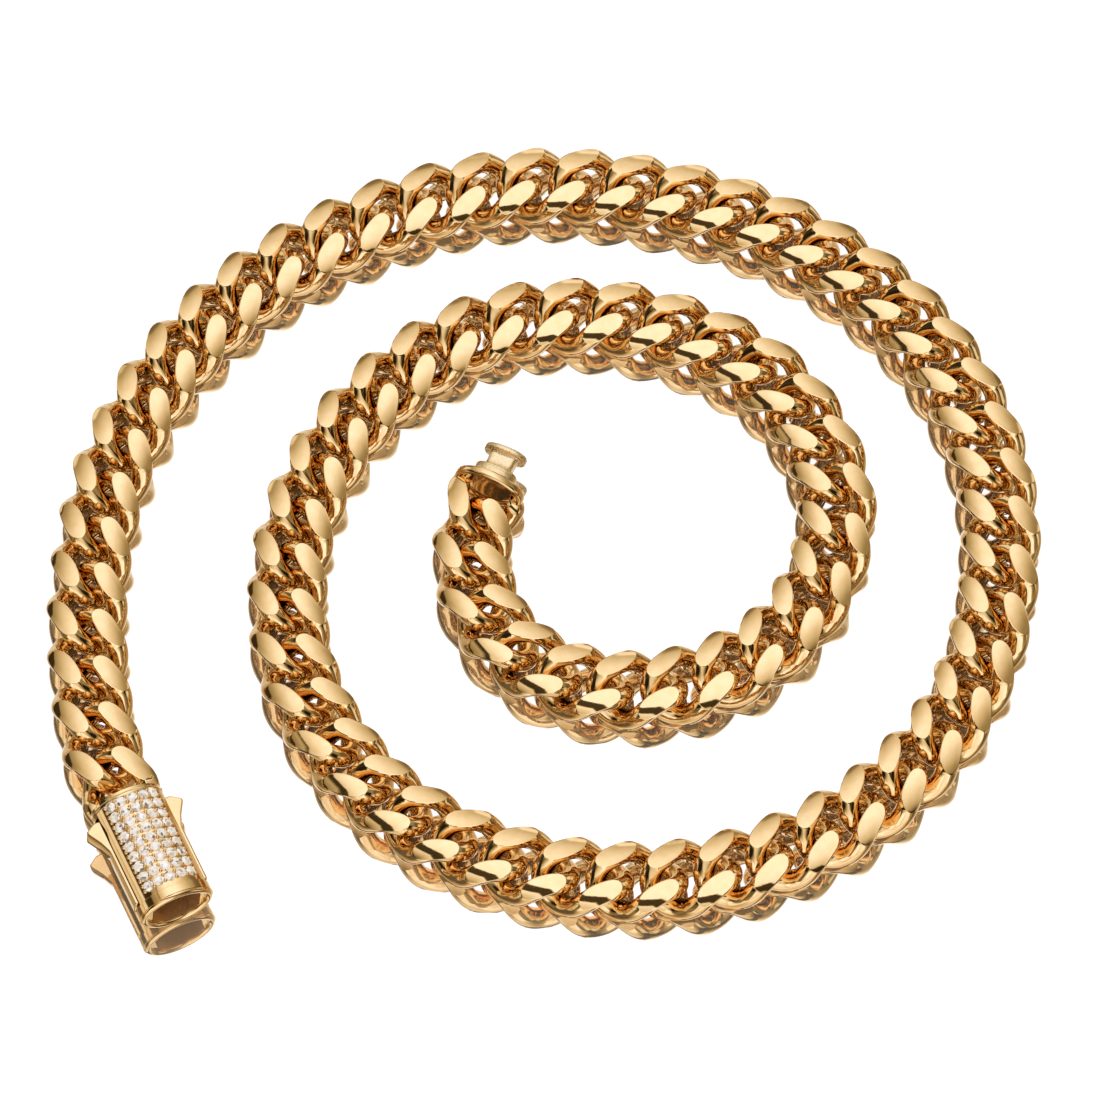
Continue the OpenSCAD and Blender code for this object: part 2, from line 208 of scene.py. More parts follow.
def filed_wire(line, rings, closed):
    """Points (ring, column) of round wire along a line, filed to the chain's thickness, and which
    edges along the wire are crisp. In each ring the columns are the top face, a flank, the bottom
    face, a flank. A point of a face lies on its ray from the line, where the ray meets the filed
    height. The rings stand closer where a face begins or ends."""
    run = np.r_[0, np.cumsum(np.linalg.norm(np.diff(line, axis=0), axis=1))]
    sweep, sweep_step, sliver = np.linspace(-1.65, 1.65, 661), 0.005, 0.02
    border_halvings, face_halvings = 12, 26
    crowding, crowd_reach = 5, 0.0005

    def on_line(at):
        """Points at these lengths along the line."""
        return np.stack([np.interp(at, run, line[:, k]) for k in range(3)], 1)

    def stations(at):
        """Points of the line, with the upward and the sideways direction square to it there."""
        step = 0.00002
        if closed:
            ahead, behind = (at + step) % run[-1], (at - step) % run[-1]
        else:
            ahead, behind = np.minimum(at + step, run[-1]), np.maximum(at - step, 0)
        along = on_line(ahead) - on_line(behind)
        along /= np.linalg.norm(along, axis=1)[:, None]
        up = np.array([0, 0, 1.0]) - along * along[:, 2:]
        up /= np.linalg.norm(up, axis=1)[:, None]
        return on_line(at), up, np.cross(along, up)

    def wire_point(place, angle, reach):
        """Points at these angles from the upward direction, as far from the line as reach."""
        points, up, side = place
        ray = np.cos(angle)[..., None] * up[:, None] + np.sin(angle)[..., None] * side[:, None]
        return points[:, None] + reach[..., None] * ray

    def above(place, angle, reach, sign):
        """How far such points stand out of the top face (sign 1) or the bottom face (sign -1)."""
        p = wire_point(place, angle, reach)
        return sign * p[..., 2] - face_height(p[..., 1])

    def spans(place, sign):
        """The angles between which the wire is filed, found by a sweep and then by halving, and
        where it isn't filed. There the two angles close to a sliver about the highest point."""
        fine = sweep + (0 if sign > 0 else np.pi)
        angle = np.broadcast_to(fine, (len(place[0]), fine.size))
        high = above(place, angle, np.full(angle.shape, wire_radius), sign)
        order = np.arange(fine.size)
        first = np.where(high > 0, order, fine.size).min(1)
        final = np.where(high > 0, order, -1).max(1)
        unfiled = final < 0
        top = fine[high.argmax(1)]
        starts = np.where(unfiled, top - sliver, fine[np.clip(first, 0, fine.size - 1)])
        ends = np.where(unfiled, top + sliver, fine[final])
        full = np.full((len(place[0]), 1), wire_radius)
        for side, border in ((-1, starts), (1, ends)):
            low, far = border.copy(), border + side * sweep_step
            for _ in range(border_halvings):
                middle = (low + far) / 2
                out = above(place, middle[:, None], full, sign)[:, 0] > 0
                low, far = np.where(out, middle, low), np.where(out, far, middle)
            border[:] = np.where(unfiled, border, low)
        return starts, ends, unfiled

    coarse = np.linspace(0, run[-1], 1200)
    crowd = np.ones(coarse.size)
    place = stations(coarse)
    for sign in (1, -1):
        unfiled = spans(place, sign)[2]
        for turn in coarse[np.flatnonzero(np.diff(unfiled.astype(int)))]:
            crowd += crowding * np.exp(-np.abs(coarse - turn) / crowd_reach)
    share = np.r_[0, np.cumsum((crowd[1:] + crowd[:-1]) / 2)]
    place = stations(np.interp(np.linspace(0, share[-1], rings + closed)[:rings], share, coarse))
    (a1, a2, a_none), (b1, b2, b_none) = spans(place, 1), spans(place, -1)
    edge = edge_width / wire_radius

    def face(start, end, sign):
        """A face's columns, evenly between its borders but for the width of an edge at each."""
        inset = np.minimum(edge, (end - start)[:, None] / 4)
        width = (end - start)[:, None] - 2 * inset
        angle = start[:, None] + inset + width * np.linspace(0, 1, facet_columns)
        full = np.full(angle.shape, wire_radius)
        low, high = np.zeros_like(angle), full.copy()
        for _ in range(face_halvings):
            middle = (low + high) / 2
            out_of = above(place, angle, middle, sign) > 0
            low, high = np.where(out_of, low, middle), np.where(out_of, middle, high)
        reach = np.where(above(place, angle, full, sign) > 0, low, full)
        return wire_point(place, angle, reach)

    def flank(start, end):
        """A round flank's columns, evenly between two faces but for the width of an edge."""
        width = (end - start)[:, None] - 2 * edge
        angle = start[:, None] + edge + width * np.linspace(0, 1, flank_columns)
        return wire_point(place, angle, np.full(angle.shape, wire_radius))

    def bend(angle, sign):
        """Angle at a border between the round wire's outward direction and the filed face's."""
        points, up, side = place
        ray = np.cos(angle)[:, None] * up + np.sin(angle)[:, None] * side
        y = (points + ray * wire_radius)[:, 1]
        step = 0.00001
        slope = (face_height(y + step) - face_height(y - step)) / (2 * step)
        out_of = np.stack([np.zeros_like(y), -slope, np.full_like(y, sign)], 1)
        return np.arccos(np.clip((ray * out_of).sum(1) / np.linalg.norm(out_of, axis=1), -1, 1))

    cells = np.concatenate([
        face(a1, a2, 1), flank(a2, b1), face(b1, b2, -1), flank(b2, a1 + 2 * np.pi),
    ], 1)
    crisp = np.zeros(cells.shape[:2], bool)
    n, m = facet_columns, flank_columns
    for columns, angle, unfiled, sign in (
        ((0, 2 * n + 2 * m - 1), a1, a_none, 1), ((n - 1, n), a2, a_none, 1),
        ((n + m - 1, n + m), b1, b_none, -1), ((2 * n + m - 1, 2 * n + m), b2, b_none, -1),
    ):
        crisp[:, columns] = ((bend(angle, sign) > crisp_angle) & ~unfiled)[:, None]
    return cells, crisp


def grid_faces(rings, columns, closed=True):
    """Quads of a grid of points, closed on itself across, and along as well where closed."""
    i, j = np.meshgrid(np.arange(rings if closed else rings - 1), np.arange(columns), indexing="ij")
    i2, j2 = (i + 1) % rings, (j + 1) % columns
    corners = [i * columns + j, i * columns + j2, i2 * columns + j2, i2 * columns + j]
    return np.stack(corners, 2).reshape(-1, 4)


def add_piece(name, verts, faces, body, coat, sharp=None, replaces=()):
    """A mesh object that rides on a body. It is smooth but for faces of more than four corners, and
    for the edges that sharp picks out by their two points."""
    mesh = bpy.data.meshes.new(name)
    faces = faces if isinstance(faces, list) else faces.tolist()
    mesh.from_pydata(np.asarray(verts).tolist(), [], faces)
    corners = np.empty(len(mesh.polygons), int)
    mesh.polygons.foreach_get("loop_total", corners)
    mesh.polygons.foreach_set("use_smooth", corners <= 4)
    if sharp is not None:
        ends = np.empty(2 * len(mesh.edges), int)
        mesh.edges.foreach_get("vertices", ends)
        hard = sharp(ends.reshape(-1, 2))
        mesh.attributes.new("sharp_edge", "BOOLEAN", "EDGE").data.foreach_set("value", hard)
    mesh.materials.append(coat)
    piece = bpy.data.objects.new(name, mesh)
    bpy.context.scene.collection.objects.link(piece)
    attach(piece, body)
    if replaces:
        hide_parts(*replaces)
    return piece


def crisp_edges(crisp):
    """Says which edges are crisp: those that run from ring to ring in one column marked so."""
    flat, columns, size = crisp.reshape(-1), crisp.shape[1], crisp.size

    def sharp(ends):
        """True for each such edge, from the numbers of its two points."""
        a, b = ends[:, 0] % size, ends[:, 1] % size
        return (a % columns == b % columns) & (flat[a] | flat[b])
    return sharp


def placed(cells, x, y, z, heading):
    """Points moved from a piece's own frame to its place and heading on the table."""
    c, s = math.cos(heading), math.sin(heading)
    turn = np.array([[c, -s, 0], [s, c, 0], [0, 0, 1]])
    return cells.reshape(-1, 3) @ turn.T + np.array([x, y, z])


# Each half of the chain is two pieces, so that none of them is too heavy.
link_cells, link_crisp = filed_wire(link_line(), link_rings, True)
link_faces = grid_faces(link_rings, link_cells.shape[1])
outer_links = round(link_count / 2)
stretches = {
    "chain_outer_a": (1, 20, "chain_outer"),
    "chain_outer_b": (21, outer_links, "chain_outer"),
    "chain_inner_a": (outer_links + 1, 60, "chain_inner"),
    "chain_inner_b": (61, link_count, "chain_inner"),
}
for name, (first, last, stands_for) in stretches.items():
    numbers = range(first, last + 1)
    verts = np.concatenate([
        placed(link_cells, *link_places[i], chain_thick / 2, link_headings[i]) for i in numbers
    ])
    faces = np.concatenate([link_faces + k * link_crisp.size for k in range(len(numbers))])
    add_piece(name, verts, faces, "necklace", gold, crisp_edges(link_crisp), (stands_for,))


# Clasp box
# An oval tube of gold-plated steel, closed at the chain's end and open at the mouth, with a window
# in each side for a lever. It is stamped, soldered and polished. A thick rim is rolled round the
# mouth, and half a link is soldered to the other end.
clasp_at = np.array([-0.0524, -0.0393, 0.004061])
clasp_roll = math.radians(6)
box_half_wid = 0.00475
box_half_high = 0.00385
box_len = 0.0158
solder_line = 0.00003
hollow_half_wid = 0.00402
hollow_half_high = 0.00312
hollow_ends = (0.0005, 0.0002)
smooth_angle = math.radians(28)
rim_radius = 0.00046
rim_inset = 0.0004
rim_ahead = 0.00005
lip_ends = (-0.00002, 0.00138)
lip_crown = 0.00018
band_ends = (0.01475, 0.01562)
band_crown = 0.00007
band_foot = -0.0003
band_sides = 96
clasp_loop_out = 0.0019
clasp_arm = 0.0023
clasp_arm_twist = 0.35
arm_draw = 0.0006
loop_rings = 90


def clasp_turns():
    """The clasp's roll about X and its turn about Z, as matrices."""
    c, s = math.cos(clasp_roll), math.sin(clasp_roll)
    roll = np.array([[1, 0, 0], [0, c, -s], [0, s, c]])
    c, s = math.cos(clasp_heading), math.sin(clasp_heading)
    return roll, np.array([[c, -s, 0], [s, c, 0], [0, 0, 1]])


def in_clasp(points):
    """Points moved from the clasp's own frame, where the box runs from x = 0 to the mouth at
    x = -length with the stones up, to the table: rolled about X, turned about Z, then moved."""
    roll, turn = clasp_turns()
    return np.asarray(points).reshape(-1, 3) @ roll.T @ turn.T + clasp_at


def out_of_clasp(points):
    """The reverse of in_clasp."""
    roll, turn = clasp_turns()
    return (points - clasp_at) @ turn @ roll


def oval_ring(profile, half_wid, half_high, sides):
    """A ring round the box: each profile point (along, out) is carried round the oval
    (W cos t, H sin t) and stands out from it along the oval's own outward direction."""
    t = np.linspace(0, 2 * np.pi, sides + 1)[:-1]
    y, z = half_wid * np.cos(t), half_high * np.sin(t)
    out_of = np.stack([np.cos(t) / half_wid, np.sin(t) / half_high], 1)
    out_of /= np.linalg.norm(out_of, axis=1)[:, None]
    profile = np.asarray(profile)
    along = np.broadcast_to(profile[None, :, 0], (sides, len(profile)))
    off = profile[None, :, 1]
    return np.stack([along, y[:, None] + off * out_of[:, :1], z[:, None] + off * out_of[:, 1:]], 2)


def rolled(start, end, foot, crown, steps):
    """Profile of a rolled band from start to end: half an ellipse that rises from foot to crown,
    closed by a straight line under it."""
    t = np.linspace(np.pi, 0, steps)
    middle, half = (start + end) / 2, (end - start) / 2
    return np.stack([middle + half * np.cos(t), foot + (crown - foot) * np.sin(t)], 1)


def round_bar(middle, height, radius, sides):
    """Profile of a bar bent round the box: a circle about (middle, height)."""
    t = np.linspace(np.pi, -np.pi, sides + 1)[:-1]
    return np.stack([middle + radius * np.cos(t), height + radius * np.sin(t)], 1)


def half_link(side, arm, arm_twist, rings):
    """Points, crispness and faces of the loop soldered to an end piece: the half of a link on the
    side given, and two straight arms. The twist begins at a share of the whole and grows as in a
    whole link. The arms draw in, by the square of the way along them, towards the metal they join,
    where their flat ends are buried."""
    t = np.linspace(-np.pi / 2, np.pi / 2, 3001)
    c, s = np.clip(np.cos(t), 0, 1), np.sin(t)
    x = link_half_len * c ** (2 / link_roundness)
    r = link_half_wid * np.sign(s) * np.abs(s) ** (2 / link_roundness)
    back = np.linspace(-arm, 0, 300)[:-1]
    x = np.r_[back, x, back[::-1]]
    drawn = link_half_wid - arm_draw * (back / arm) ** 2
    r = np.r_[-drawn, r, drawn[::-1]]
    share = arm_twist + (1 - arm_twist) * twist_share(np.maximum(x, 0) / link_half_len)
    turn = -side * link_twist * share
    line = np.stack([side * x, r * np.cos(turn), r * np.sin(turn)], 1)
    cells, crisp = filed_wire(line, rings, False)
    columns = cells.shape[1]
    faces = grid_faces(rings, columns, False).tolist()
    first, last = list(range(columns)), list(range((rings - 1) * columns, rings * columns))
    return cells, crisp, faces + [first[::-1], last]


# Gold plate over the dull skin that drawing left inside the tube, which spreads the highlights
# there. Its marks are about 0.3 mm, 3.3 to a millimetre.
satin, tree, out = material("satin_gold_inside")
where = node(tree, "ShaderNodeTexCoord").outputs["Object"]
marks = node(tree, "ShaderNodeTexNoise", {"Vector": where, "Scale": 3.3 * per_mm, "Detail": 2.0})
shade = node(tree, "ShaderNodeValToRGB", {"Fac": marks.outputs["Fac"]})
shade.color_ramp.elements[0].color = srgb("#F0BE78")
shade.color_ramp.elements[1].color = srgb("#FAD8A6")
rough = node(tree, "ShaderNodeMapRange", {
    "Value": marks.outputs["Fac"], "From Min": 0.3, "From Max": 0.7, "To Min": 0.42, "To Max": 0.56,
})
shader = node(tree, "ShaderNodeBsdfPrincipled", {
    "Base Color": shade.outputs["Color"], "Metallic": 1.0, "Roughness": rough.outputs["Result"],
})
tree.links.new(shader.outputs["BSDF"], out.inputs["Surface"])

# The housing is the CAD's own box without its half link, smooth but for its corners.
bm = bmesh.new()
bm.from_mesh(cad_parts["clasp_box"].data)
bmesh.ops.remove_doubles(bm, verts=bm.verts, dist=0.000001)
own = out_of_clasp(np.array([v.co for v in bm.verts]))
loose = [v for v, p in zip(bm.verts, own) if p[0] > solder_line]
bmesh.ops.delete(bm, geom=loose, context="VERTS")
bmesh.ops.holes_fill(bm, edges=[e for e in bm.edges if e.is_boundary], sides=0)
bmesh.ops.triangulate(bm, faces=[f for f in bm.faces if len(f.verts) > 4])
for edge in bm.edges:
    edge.smooth = len(edge.link_faces) == 2 and edge.calc_face_angle() < smooth_angle
middles = out_of_clasp(np.array([f.calc_center_median() for f in bm.faces]))
within = (middles[:, 1] / hollow_half_wid)**2 + (middles[:, 2] / hollow_half_high)**2 < 1
within &= (middles[:, 0] < -hollow_ends[0]) & (middles[:, 0] > -box_len + hollow_ends[1])
for face, dull in zip(bm.faces, within):
    face.smooth = True
    face.material_index = int(dull)
mesh = bpy.data.meshes.new("clasp_housing")
bm.to_mesh(mesh)
bm.free()
mesh.materials.append(gold)
mesh.materials.append(satin)
housing = bpy.data.objects.new("clasp_housing", mesh)
bpy.context.scene.collection.objects.link(housing)
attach(housing, "necklace")
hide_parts("clasp_box")

# The rim round the mouth, the lip behind it, and a low band near the chain's end.
bands = [
    round_bar(-box_len - rim_ahead, -rim_inset, rim_radius, 20),
    rolled(-box_len + lip_ends[0], -box_len + lip_ends[1], band_foot, lip_crown, 13),
    rolled(-box_len + band_ends[0], -box_len + band_ends[1], band_foot, band_crown, 9),
]
verts, faces, count = [], [], 0
for profile in bands:
    cells = oval_ring(profile, box_half_wid, box_half_high, band_sides)
    verts.append(in_clasp(cells))
    faces.append(grid_faces(*cells.shape[:2])[:, ::-1] + count)
    count += cells.shape[0] * cells.shape[1]
verts, faces = np.concatenate(verts), np.concatenate(faces)
add_piece("clasp_lip_and_band", verts, faces, "necklace", gold)

loop_z = chain_thick / 2
cells, crisp, faces = half_link(1, clasp_arm, clasp_arm_twist, loop_rings)
cells = cells + np.array([clasp_loop_out, 0, 0])
verts = placed(cells, *clasp_at[:2], loop_z, clasp_heading)
add_piece("clasp_loop", verts, faces, "necklace", gold, crisp_edges(crisp))


# Stones and beads
# Nine rows of five brilliant-cut white zirconia stones sit in drilled seats across the top of the
# box, held between rows of small beads raised from the gold.
stone_rows = 9
stone_columns = 5
row_pitch = 0.00148
column_turn = math.radians(18.455)
middle_row_x = -0.00735
stone_size = 0.00138
stone_proud = 0.00032
crown_share = 0.17
girdle_share = 0.03
pavilion_share = 0.43
table_share = 0.52
bead_size = 0.0006
bead_sides = 10
bead_sink = 0.00003
seat_turn = 2.4

# Cubic zirconia, cut and polished. Its colour is painted reflection: each facet would show another
# part of the room, so cells of about 0.35 mm, 2.9 to a millimetre, are painted white, champagne and
# now and then dark. A painted glow in the same colours stands for what comes back up through the
# stone.
zirconia, tree, out = material("cut_zirconia")
where = node(tree, "ShaderNodeTexCoord").outputs["Object"]
glints = node(tree, "ShaderNodeTexVoronoi", {"Vector": where, "Scale": 2.9 * per_mm})
pick = node(tree, "ShaderNodeSeparateColor", {"Color": glints.outputs["Color"]}).outputs["Red"]
# Painted reflection: each cell takes a colour of the mirrored room from this ramp, from dark to
# white.
painted_reflection = node(tree, "ShaderNodeValToRGB", {"Fac": pick})
painted_reflection_stops = {0.0: "#6A5846", 0.09: "#B09A80", 0.2: "#DCCDB8", 0.45: "#F2EAE0", 1.0: "#FFFFFF"}
for at in list(painted_reflection_stops)[1:-1]:
    painted_reflection.color_ramp.elements.new(at)
for element, (at, shown) in zip(painted_reflection.color_ramp.elements, painted_reflection_stops.items()):
    element.position = at
    element.color = srgb(shown)
haze = node(tree, "ShaderNodeMapRange", {
    "Value": glints.outputs["Distance"], "From Min": 0.0, "From Max": 0.6, "To Min": 0.01,
    "To Max": 0.04,
})
# The painted reflection is the base colour, and again the emission, which is a painted glow.
cut = node(tree, "ShaderNodeBsdfPrincipled", {
    "Base Color": painted_reflection.outputs["Color"], "Roughness": haze.outputs["Result"], "IOR": 2.15,
    "Transmission Weight": 0.08, "Emission Color": painted_reflection.outputs["Color"], "Emission Strength": 0.3,
})
tree.links.new(cut.outputs["BSDF"], out.inputs["Surface"])


def on_box_top(x, turn, points):
    """Points about their own foot set on the oval at x and the turn t from the Y axis, with their
    Z along the outward direction of the oval there."""
    y, z = box_half_wid * math.cos(turn), box_half_high * math.sin(turn)
    lean = math.atan2(math.cos(turn) / box_half_wid, math.sin(turn) / box_half_high)
    c, s = math.cos(lean), math.sin(lean)
    return points @ np.array([[1, 0, 0], [0, c, s], [0, -s, c]]).T + np.array([x, y, z])


def brilliant(size, proud):
    """Points and faces of a cut stone: an eight-sided table, a crown down to a sixteen-sided
    girdle, a thin girdle, and a pavilion down to a point. The crown has three triangles to each
    side of the table, one on the table's edge and two that stand on the girdle."""
    k, j = np.arange(8) * np.pi / 4, np.arange(16) * np.pi / 8
    inner, outer, girdle_z = table_share * size / 2, size / 2, proud - crown_share * size
    table = np.stack([inner * np.cos(k), inner * np.sin(k), np.full(8, proud)], 1)
    girdle = np.stack([outer * np.cos(j), outer * np.sin(j), np.full(16, girdle_z)], 1)
    low = girdle - np.array([0, 0, girdle_share * size])
    point = np.array([[0, 0, proud - (crown_share + pavilion_share) * size]])
    n, m = np.arange(8), np.arange(16)
    nxt, right = (n + 1) % 8, (m + 1) % 16
    corner, between, beyond = 8 + 2 * n, 9 + 2 * n, 8 + (2 * n + 2) % 16
    crown = np.stack([n, corner, between, n, between, nxt, nxt, between, beyond], 1)
    faces = [list(range(8))] + crown.reshape(-1, 3).tolist()
    faces += np.stack([8 + m, 24 + m, 24 + right, 8 + right], 1).tolist()
    faces += np.stack([24 + m, np.full(16, 40), 24 + right], 1).tolist()
    return np.concatenate([table, girdle, low, point]), faces


def ball(size, sides, sink):
    """Points and faces of a round bead, (sin v cos u, sin v sin u, cos v) times half its size, with
    its middle sunk below the surface it rises from."""
    v = np.linspace(0, np.pi, sides // 2 + 2)[1:-1]
    u = np.linspace(0, 2 * np.pi, sides + 1)[:-1]
    body = np.stack([
        size / 2 * np.outer(np.sin(v), np.cos(u)), size / 2 * np.outer(np.sin(v), np.sin(u)),
        size / 2 * np.outer(np.cos(v), np.ones(sides)) - sink,
    ], 2).reshape(-1, 3)
    ends = np.array([[0, 0, size / 2 - sink], [0, 0, -size / 2 - sink]])
    top, low, last = len(body), len(body) + 1, len(body) - sides
    n = np.arange(sides)
    nxt = (n + 1) % sides
    faces = np.stack([np.full(sides, top), n, nxt], 1).tolist()
    faces += np.stack([np.full(sides, low), last + nxt, last + n], 1).tolist()
    faces += grid_faces(len(v), sides, False)[:, [0, 3, 2, 1]].tolist()
    return np.concatenate([body, ends]), faces


def repeated(points, faces, seats):
    """One mesh of the same little solid set on the box at each seat (x, turn). Each one is turned
    about its own axis by seat_turn more than the one before, so that no two catch the light
    alike."""
    verts, copies = [], []
    for k, (x, turn) in enumerate(seats):
        c, s = math.cos(seat_turn * k), math.sin(seat_turn * k)
        turned = points @ np.array([[c, s, 0], [-s, c, 0], [0, 0, 1]])
        verts.append(in_clasp(on_box_top(x, turn, turned)))
        copies += [(np.array(f) + k * len(points)).tolist() for f in faces]
    return np.concatenate(verts), copies


row_x = middle_row_x + (np.arange(stone_rows) - stone_rows // 2) * row_pitch
seats = [(x, math.pi / 2 + (k - 2) * column_turn) for x in row_x for k in range(stone_columns)]
verts, faces = repeated(*brilliant(stone_size, stone_proud), seats)
stones = add_piece(
    "cut_stones", verts, faces, "necklace", zirconia, None, ("pave_stones",))
stones.data.polygons.foreach_set("use_smooth", np.zeros(len(stones.data.polygons), bool))

beads = [(x + shift * row_pitch / 4, math.pi / 2 + (k - 2.5) * column_turn)
         for x in row_x for shift in (-1, 1) for k in range(stone_columns + 1)]
verts, faces = repeated(*ball(bead_size, bead_sides, bead_sink), beads)
add_piece("setting_beads", verts, faces, "necklace", gold)


# Levers
# A stamped lever in each side window turns on a pin; its tab stands out near the chain's end, where
# finger and thumb press. It is polished and plated as the box is, with rounded edges.
lever_half_thick = 0.00115
lever_round = 0.00022
corner_round = 0.00035
# The outline in millimetres, from the mouth along the box and out from its middle.
lever_outline = [
    (1.6, 4.9), (1.6, 3.25), (2.7, 2.35), (4, 2.35), (4, 3.25), (14.1, 3.25), (14.1, 5.22),
    (13.3, 6.42), (12.9, 6.5), (11.25, 5.54), (9.6, 4.9),
]


def rounded_outline(points, reach, steps):
    """The outline with each corner replaced by a quadratic Bezier curve that starts and ends at a
    distance reach from the corner, or a third of the side where that is shorter."""
    points = np.asarray(points)
    ahead, behind = np.roll(points, -1, 0) - points, np.roll(points, 1, 0) - points
    far_a, far_b = (np.linalg.norm(v, axis=1)[:, None] for v in (ahead, behind))
    start = points + behind / far_b * np.minimum(reach, far_b / 3)
    stop = points + ahead / far_a * np.minimum(reach, far_a / 3)
    u = np.linspace(0, 1, steps)[None, :, None]
    curve = (1 - u)**2 * start[:, None] + 2 * u * (1 - u) * points[:, None] + u**2 * stop[:, None]
    return curve.reshape(-1, 2)


def rounded_plate(outline, half_thick, edge, steps):
    """Points and faces of a flat plate with a quarter-round along both edges. The outline is drawn
    in by edge (1 - sin a) at the height half_thick - edge (1 - cos a), a from 0 to 90 degrees."""
    after, size = np.roll(outline, -1, 0), len(outline)
    ahead = after - np.roll(outline, 1, 0)
    inward = np.stack([-ahead[:, 1], ahead[:, 0]], 1) / np.linalg.norm(ahead, axis=1)[:, None]
    area = (outline[:, 0] * after[:, 1] - outline[:, 1] * after[:, 0]).sum()
    inward *= np.sign(area)
    a = np.linspace(0, np.pi / 2, steps)
    draw = edge * (1 - np.sin(a))
    high = half_thick - edge * (1 - np.cos(a))
    draw, high = np.r_[draw, draw[::-1]], np.r_[high, -high[::-1]]
    rings = [
        np.column_stack([outline + inward * d, np.full(size, h)]) for d, h in zip(draw, high)
    ]
    last = (len(rings) - 1) * size
    faces = grid_faces(len(rings), size, False)[:, [0, 3, 2, 1]].tolist()
    faces += [list(range(size)), list(range(last, last + size))[::-1]]
    if area < 0:
        faces = [f[::-1] for f in faces]
    return np.concatenate(rings), faces


for name, side in (("lever_left", 1), ("lever_right", -1)):
    outline = np.array(lever_outline) * 0.001 * (1, side) - (box_len, 0)
    outline = rounded_outline(outline, corner_round, 5)
    verts, faces = rounded_plate(outline, lever_half_thick, lever_round, 4)
    add_piece(name + "_plate", in_clasp(verts), faces, name, gold, None, (name,))


# Tongue
# The other end of the chain carries a hollow oval cap with a block, a neck and a flange that the
# levers hold in the box. It is cast in one with its loop; the neck and flange keep the cast skin.
tongue_at = np.array([-0.0073, 0.0051, 0.004061])
tongue_loop_out = 0.0005
tongue_arm = 0.0008
tongue_arm_twist = 0.2
shank_sides = 72
# Sections along the tongue, in millimetres: the place, the half width, the half height, the power.
cap = [
    (0.3, 0.2, 0.2, 2), (0.3, 3.2, 2.4, 2), (0.2, 3.75, 2.9, 2), (-0.05, 4.1, 3.2, 2),
    (-0.2, 4.3, 3.4, 2), (-0.24, 4.48, 3.58, 2), (-0.16, 4.64, 3.74, 2), (0, 4.73, 3.83, 2),
    (0.15, 4.75, 3.85, 2), (0.62, 4.75, 3.85, 2), (0.78, 4.71, 3.81, 2), (0.87, 4.6, 3.7, 2),
    (0.9, 4.4, 3.5, 2), (0.9, 2.4, 1.8, 2.2),
]
shank = [
    (0.7, 2.0, 1.4, 2.4), (0.8, 2.85, 2.2, 2.4), (1.6, 2.82, 2.16, 2.6), (2.5, 2.85, 2.2, 2.6),
    (2.64, 2.8, 2.14, 2.6), (2.71, 2.62, 1.96, 2.8), (2.76, 1.95, 1.36, 4), (2.9, 1.82, 1.22, 5),
    (3.6, 1.76, 1.15, 6), (4.5, 1.8, 1.2, 6), (4.95, 1.9, 1.26, 5), (5.1, 2.5, 1.45, 2.8),
    (5.13, 2.78, 1.64, 2.4), (5.2, 2.85, 1.7, 2.4), (5.78, 2.85, 1.7, 2.4), (5.87, 2.78, 1.63, 2.4),
    (5.9, 2.6, 1.46, 2.4), (5.9, 0.6, 0.4, 2.4),
]

# Gold plate over the skin of an investment casting, left unpolished, which glitters dully. Its
# grains are 0.25 mm, 4 to a millimetre.
cast, tree, out = material("rough_cast_gold_plate")
where = node(tree, "ShaderNodeTexCoord").outputs["Object"]
grain = node(tree, "ShaderNodeTexNoise", {
    "Vector": where, "Scale": 4.0 * per_mm, "Detail": 3.0, "Roughness": 0.65,
})
shade = node(tree, "ShaderNodeValToRGB", {"Fac": grain.outputs["Fac"]})
shade.color_ramp.elements[0].position = 0.3
shade.color_ramp.elements[0].color = srgb("#E6C084")
shade.color_ramp.elements[1].position = 0.7
shade.color_ramp.elements[1].color = srgb("#FFE8BE")
skin = node(tree, "ShaderNodeBump", {
    "Strength": 0.8, "Distance": 0.00004, "Height": grain.outputs["Fac"],
})
rough = node(tree, "ShaderNodeMapRange", {
    "Value": grain.outputs["Fac"], "From Min": 0.3, "From Max": 0.7, "To Min": 0.2, "To Max": 0.34,
})
shader = node(tree, "ShaderNodeBsdfPrincipled", {
    "Base Color": shade.outputs["Color"], "Metallic": 1.0, "Roughness": rough.outputs["Result"],
    "Normal": skin.outputs["Normal"],
})
tree.links.new(shader.outputs["BSDF"], out.inputs["Surface"])


def lofted(stations, sides):
    """Points and faces of a solid of superellipse sections, y = W sgn(cos t)|cos t|^(2/n) and
    z = H sgn(sin t)|sin t|^(2/n), joined in order and closed flat at both ends."""
    t = np.linspace(0, 2 * np.pi, sides + 1)[:-1]
    c, s = np.cos(t), np.sin(t)
    rings = []
    for x, wide, high, power in stations:
        y = wide * np.sign(c) * np.abs(c) ** (2 / power)
        z = high * np.sign(s) * np.abs(s) ** (2 / power)
        rings.append(np.column_stack([np.full(sides, x), y, z]))
    last = (len(rings) - 1) * sides
    faces = grid_faces(len(rings), sides, False).tolist()
    faces += [list(range(sides))[::-1], list(range(last, last + sides))]
    return np.concatenate(rings) * 0.001, faces


for name, stations, coat, stands_for in (
    ("tongue_cap", cap, gold, ("tongue",)), ("tongue_block_neck_and_flange", shank, cast, ()),
):
    verts, faces = lofted(stations, shank_sides)
    verts = placed(verts, *tongue_at, tongue_heading)
    add_piece(name, verts, faces, "necklace", coat, None, stands_for)

cells, crisp, faces = half_link(-1, tongue_arm, tongue_arm_twist, loop_rings)
cells = cells - np.array([tongue_loop_out, 0, 0])
verts = placed(cells, *tongue_at[:2], loop_z, tongue_heading)
add_piece("tongue_loop", verts, faces, "necklace", gold, crisp_edges(crisp))


